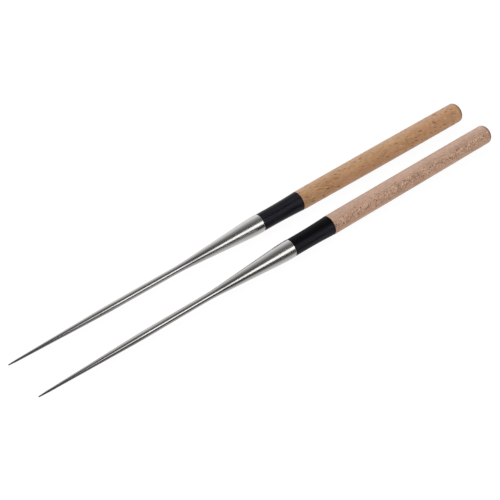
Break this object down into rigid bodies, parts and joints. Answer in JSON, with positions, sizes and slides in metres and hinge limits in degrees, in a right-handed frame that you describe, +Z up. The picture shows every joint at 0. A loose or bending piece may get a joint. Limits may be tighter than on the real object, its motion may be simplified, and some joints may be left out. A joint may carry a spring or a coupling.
{
  "type": "plating chopsticks",
  "caption": "Pair of plating chopsticks lying side by side: tapered satin steel shafts with fine points, black ferrules and turned beech handles.",
  "frame": {"origin": "middle of the pair's bounding box, on the surface the pair lies on", "axes": "+X along the sticks from the points to the butts, +Y from the near stick to the far stick, +Z up"},
  "size_m": [0.29, 0.0345, 0.0125],
  "materials": {
    "steel": "satin, finely brushed along the shaft",
    "ferrule_plastic": "satin black, smooth",
    "far_wood": "beech, sanded and oiled, warm tan",
    "near_wood": "beech, sanded and oiled, paler and pinker, with ray flecks"
  },
  "bodies": {
    "root": {"far_steel_shaft": "steel", "far_ferrule": "ferrule_plastic", "far_handle": "far_wood", "near_steel_shaft": "steel", "near_ferrule": "ferrule_plastic", "near_handle": "near_wood"}
  },
  "joints": []
}
